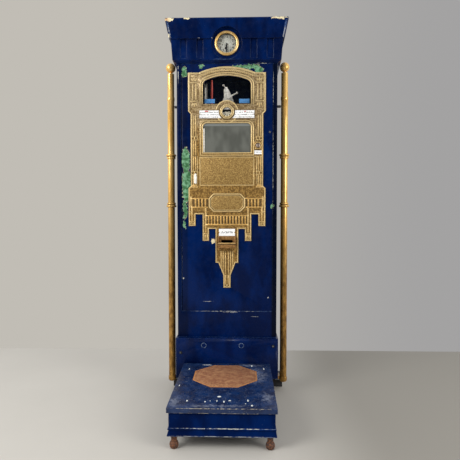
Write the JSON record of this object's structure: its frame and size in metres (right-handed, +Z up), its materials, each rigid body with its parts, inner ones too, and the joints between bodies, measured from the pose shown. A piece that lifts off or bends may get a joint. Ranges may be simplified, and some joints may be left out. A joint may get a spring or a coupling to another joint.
{
  "type": "coin-operated person scale",
  "caption": "Tall painted coin-operated person scale: clock in a flared crown, brass relief door plate with window, mirror and ticket cup, two brass rails and a low weighing platform.",
  "frame": {"origin": "on the floor, under the middle of the whole machine's box", "axes": "+X to the right of a person facing the door, +Y from the platform to the column's back, +Z up"},
  "size_m": [0.665, 0.9, 1.945],
  "materials": {
    "navy_paint": "gloss oil paint over old coats, chipped at edges",
    "black_iron": "black painted iron",
    "steel": "plain steel, dulled",
    "cast_iron": "machined and painted casting",
    "plate_brass": "cast relief, dulled and worn",
    "rail_brass": "polished tube, browned towards the foot",
    "clear_glass": "flat glass",
    "mirror_glass": "old silvered glass",
    "dial_enamel": "white enamel on sheet",
    "hand_black": "blued steel",
    "zinc_sheet": "folded tinned sheet",
    "grey_casting": "grey painted casting",
    "red_enamel": "red enamelled rod",
    "ticket_paper": "stack of blank card tickets",
    "blue_card": "printed card, left bare",
    "mat_linoleum": "worn brown linoleum",
    "rusty_iron": "rusted turned iron"
  },
  "bodies": {
    "machine": {"plinth": "navy_paint", "plinth_plugs": "navy_paint", "plinth_bolts": "steel", "front_foot_bar": "black_iron", "rear_foot_bar": "black_iron", "column_casing": "navy_paint", "back_cover": "navy_paint", "back_cover_screws": "steel", "crown": "navy_paint", "crown_lid": "navy_paint", "clock_bezel": "rail_brass", "clock_glass": "clear_glass", "clock_dial": "dial_enamel", "clock_movement": "zinc_sheet", "door_pivot_pins": "steel", "left_rail": "rail_brass", "right_rail": "rail_brass", "left_finial": "rail_brass", "right_finial": "rail_brass", "rail_standoffs": "black_iron", "rail_stubs": "rail_brass", "platform_base": "navy_paint", "platform_foot_1": "rusty_iron", "platform_foot_2": "rusty_iron", "platform_foot_3": "rusty_iron", "platform_foot_4": "rusty_iron", "fulcrum_blocks": "steel", "pendulum_stud": "steel", "mechanism_plate": "cast_iron", "mechanism_shelf": "cast_iron", "printer_casting": "grey_casting", "ticket_magazine": "zinc_sheet", "ticket_stack": "ticket_paper", "ribbon_rod": "red_enamel", "ticket_chute": "zinc_sheet", "coin_chute": "zinc_sheet", "cash_box": "zinc_sheet", "cash_box_shelf": "cast_iron"},
    "door": {"service_door": "navy_paint", "brass_front_plate": "plate_brass", "plate_screws": "plate_brass", "window_glass": "clear_glass", "port_glass": "clear_glass", "mirror": "mirror_glass", "port_ring": "plate_brass", "enamel_labels": "dial_enamel", "coin_slot_escutcheon": "plate_brass", "coin_funnel": "zinc_sheet", "ticket_cup": "plate_brass", "notice_cards": "blue_card"},
    "lock": {"door_lock": "steel"},
    "platform": {"weighing_plate": "navy_paint", "platform_mat": "mat_linoleum"},
    "lever": {"base_lever": "cast_iron"},
    "rod": {"draw_rod": "steel"},
    "pendulum": {"pendulum": "rail_brass"},
    "wheel": {"number_wheel": "dial_enamel"},
    "minute": {"minute_hand": "hand_black"},
    "hour": {"hour_hand": "hand_black"},
    "arm": {"print_arm": "grey_casting"}
  },
  "joints": [
    {"name": "door_swing", "type": "hinge", "parent": "machine", "child": "door", "pos_m": [-0.231, 0.156, 1], "axis": [0, 0, -1], "range_deg": [0, 100]},
    {"name": "lock_turn", "type": "hinge", "parent": "door", "child": "lock", "pos_m": [0.222, 0.15, 1.381], "axis": [0, 1, 0], "range_deg": [0, 90]},
    {"name": "pendulum_swing", "type": "hinge", "parent": "machine", "child": "pendulum", "pos_m": [-0.10993, 0.229, 1.34709], "axis": [0, -1, 0], "range_deg": [0, 19.5], "stiffness_Nm_per_rad": 46, "springref_deg": -6.88},
    {"name": "platform_sink", "type": "slide", "parent": "machine", "child": "platform", "axis": [0, 0, 1], "range_m": [-0.004, 0]},
    {"name": "lever_tilt", "type": "hinge", "parent": "machine", "child": "lever", "pos_m": [0, -0.328, 0.071], "axis": [1, 0, 0], "range_deg": [-0.87, 0]},
    {"name": "rod_pull", "type": "slide", "parent": "machine", "child": "rod", "axis": [0, 0, 1], "range_m": [-0.0086, 0]},
    {"name": "wheel_turn", "type": "hinge", "parent": "machine", "child": "wheel", "pos_m": [0, 0.25, 1.4], "axis": [0, 1, 0], "range_deg": [0, 179]},
    {"name": "minute_turn", "type": "hinge", "parent": "machine", "child": "minute", "pos_m": [0, 0.15, 1.826], "axis": [0, 1, 0], "continuous": true},
    {"name": "hour_turn", "type": "hinge", "parent": "machine", "child": "hour", "pos_m": [0, 0.15, 1.826], "axis": [0, 1, 0], "continuous": true},
    {"name": "print_arm_swing", "type": "hinge", "parent": "machine", "child": "arm", "pos_m": [0.006, 0.23, 1.576], "axis": [0, 1, 0], "range_deg": [0, 20], "stiffness_Nm_per_rad": 0.5, "springref_deg": -17.19}
  ],
  "couplings": [
    {"joint": "platform_sink", "follows": "pendulum_swing", "m_per_rad": -0.011705},
    {"joint": "lever_tilt", "follows": "pendulum_swing", "ratio": -0.04417},
    {"joint": "rod_pull", "follows": "pendulum_swing", "m_per_rad": -0.025},
    {"joint": "wheel_turn", "follows": "pendulum_swing", "ratio": 9.1667},
    {"joint": "hour_turn", "follows": "minute_turn", "ratio": 0.083333}
  ]
}
